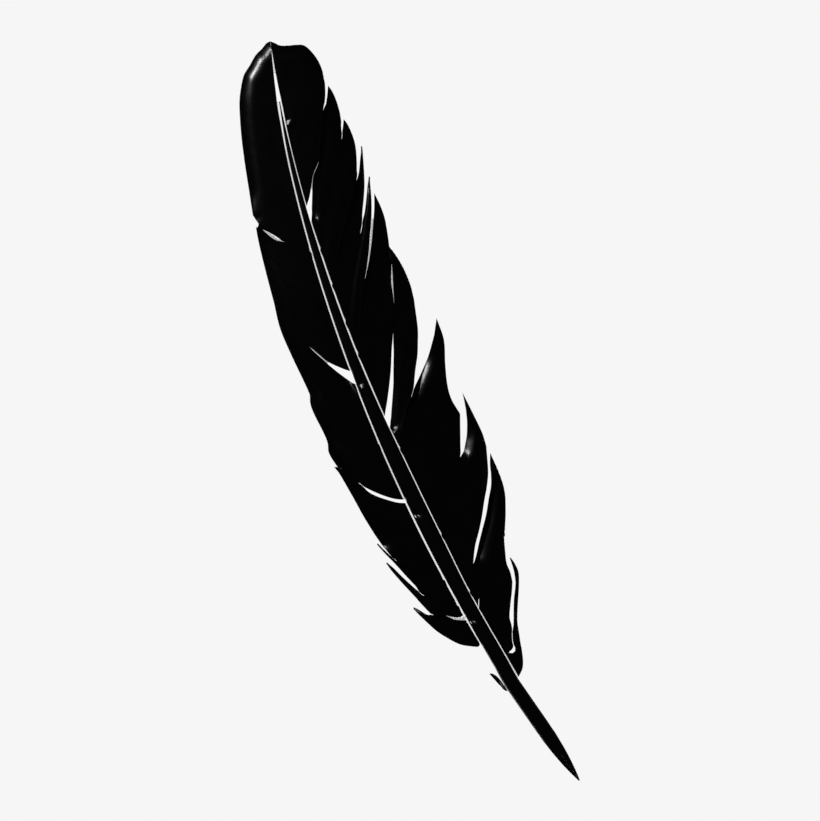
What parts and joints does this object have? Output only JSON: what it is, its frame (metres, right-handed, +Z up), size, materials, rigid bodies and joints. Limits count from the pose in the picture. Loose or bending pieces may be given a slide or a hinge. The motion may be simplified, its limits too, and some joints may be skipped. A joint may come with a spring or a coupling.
{
  "type": "quill pen",
  "caption": "Large curved feather pen with a bare hollow barrel cut to a split writing point, a tapering shaft and ragged separate locks of barbs.",
  "frame": {"origin": "on the barrel's axis, halfway along the round bare barrel where it is gripped", "axes": "+Z up the barrel's axis from the nib to the plume; -Y out of the rounded outer face of the feather; +X towards the wide inner vane"},
  "size_m": [0.0873, 0.0174, 0.2932],
  "materials": {
    "horn": "satin",
    "barbs": "satin",
    "pith": "matte"
  },
  "bodies": {
    "quill": {"barrel": "horn", "shaft_cortex": "horn", "shaft_pith": "pith", "outer_barbs_1": "barbs", "outer_barbs_2": "barbs", "outer_barbs_3": "barbs", "outer_barbs_4": "barbs", "outer_barbs_5": "barbs", "outer_barbs_6": "barbs", "outer_barbs_7": "barbs", "outer_barbs_8": "barbs", "outer_barbs_9": "barbs", "inner_barbs_1": "barbs", "inner_barbs_2": "barbs", "inner_barbs_3": "barbs", "inner_barbs_4": "barbs", "inner_barbs_5": "barbs", "inner_barbs_6": "barbs", "inner_barbs_7": "barbs", "inner_barbs_8": "barbs", "inner_barbs_9": "barbs", "inner_barbs_10": "barbs", "inner_barbs_11": "barbs", "inner_barbs_12": "barbs"},
    "left_tine": {"left_tine": "horn"},
    "right_tine": {"right_tine": "horn"}
  },
  "joints": [
    {"name": "left_tine_spread", "type": "hinge", "parent": "quill", "child": "left_tine", "pos_m": [-0.00196, -0.0015, -0.021], "axis": [0, 1, 0], "range_deg": [0, 2.5], "stiffness_Nm_per_rad": 0.14},
    {"name": "right_tine_spread", "type": "hinge", "parent": "quill", "child": "right_tine", "pos_m": [0.00196, -0.0015, -0.021], "axis": [0, -1, 0], "range_deg": [0, 2.5], "stiffness_Nm_per_rad": 0.14}
  ]
}
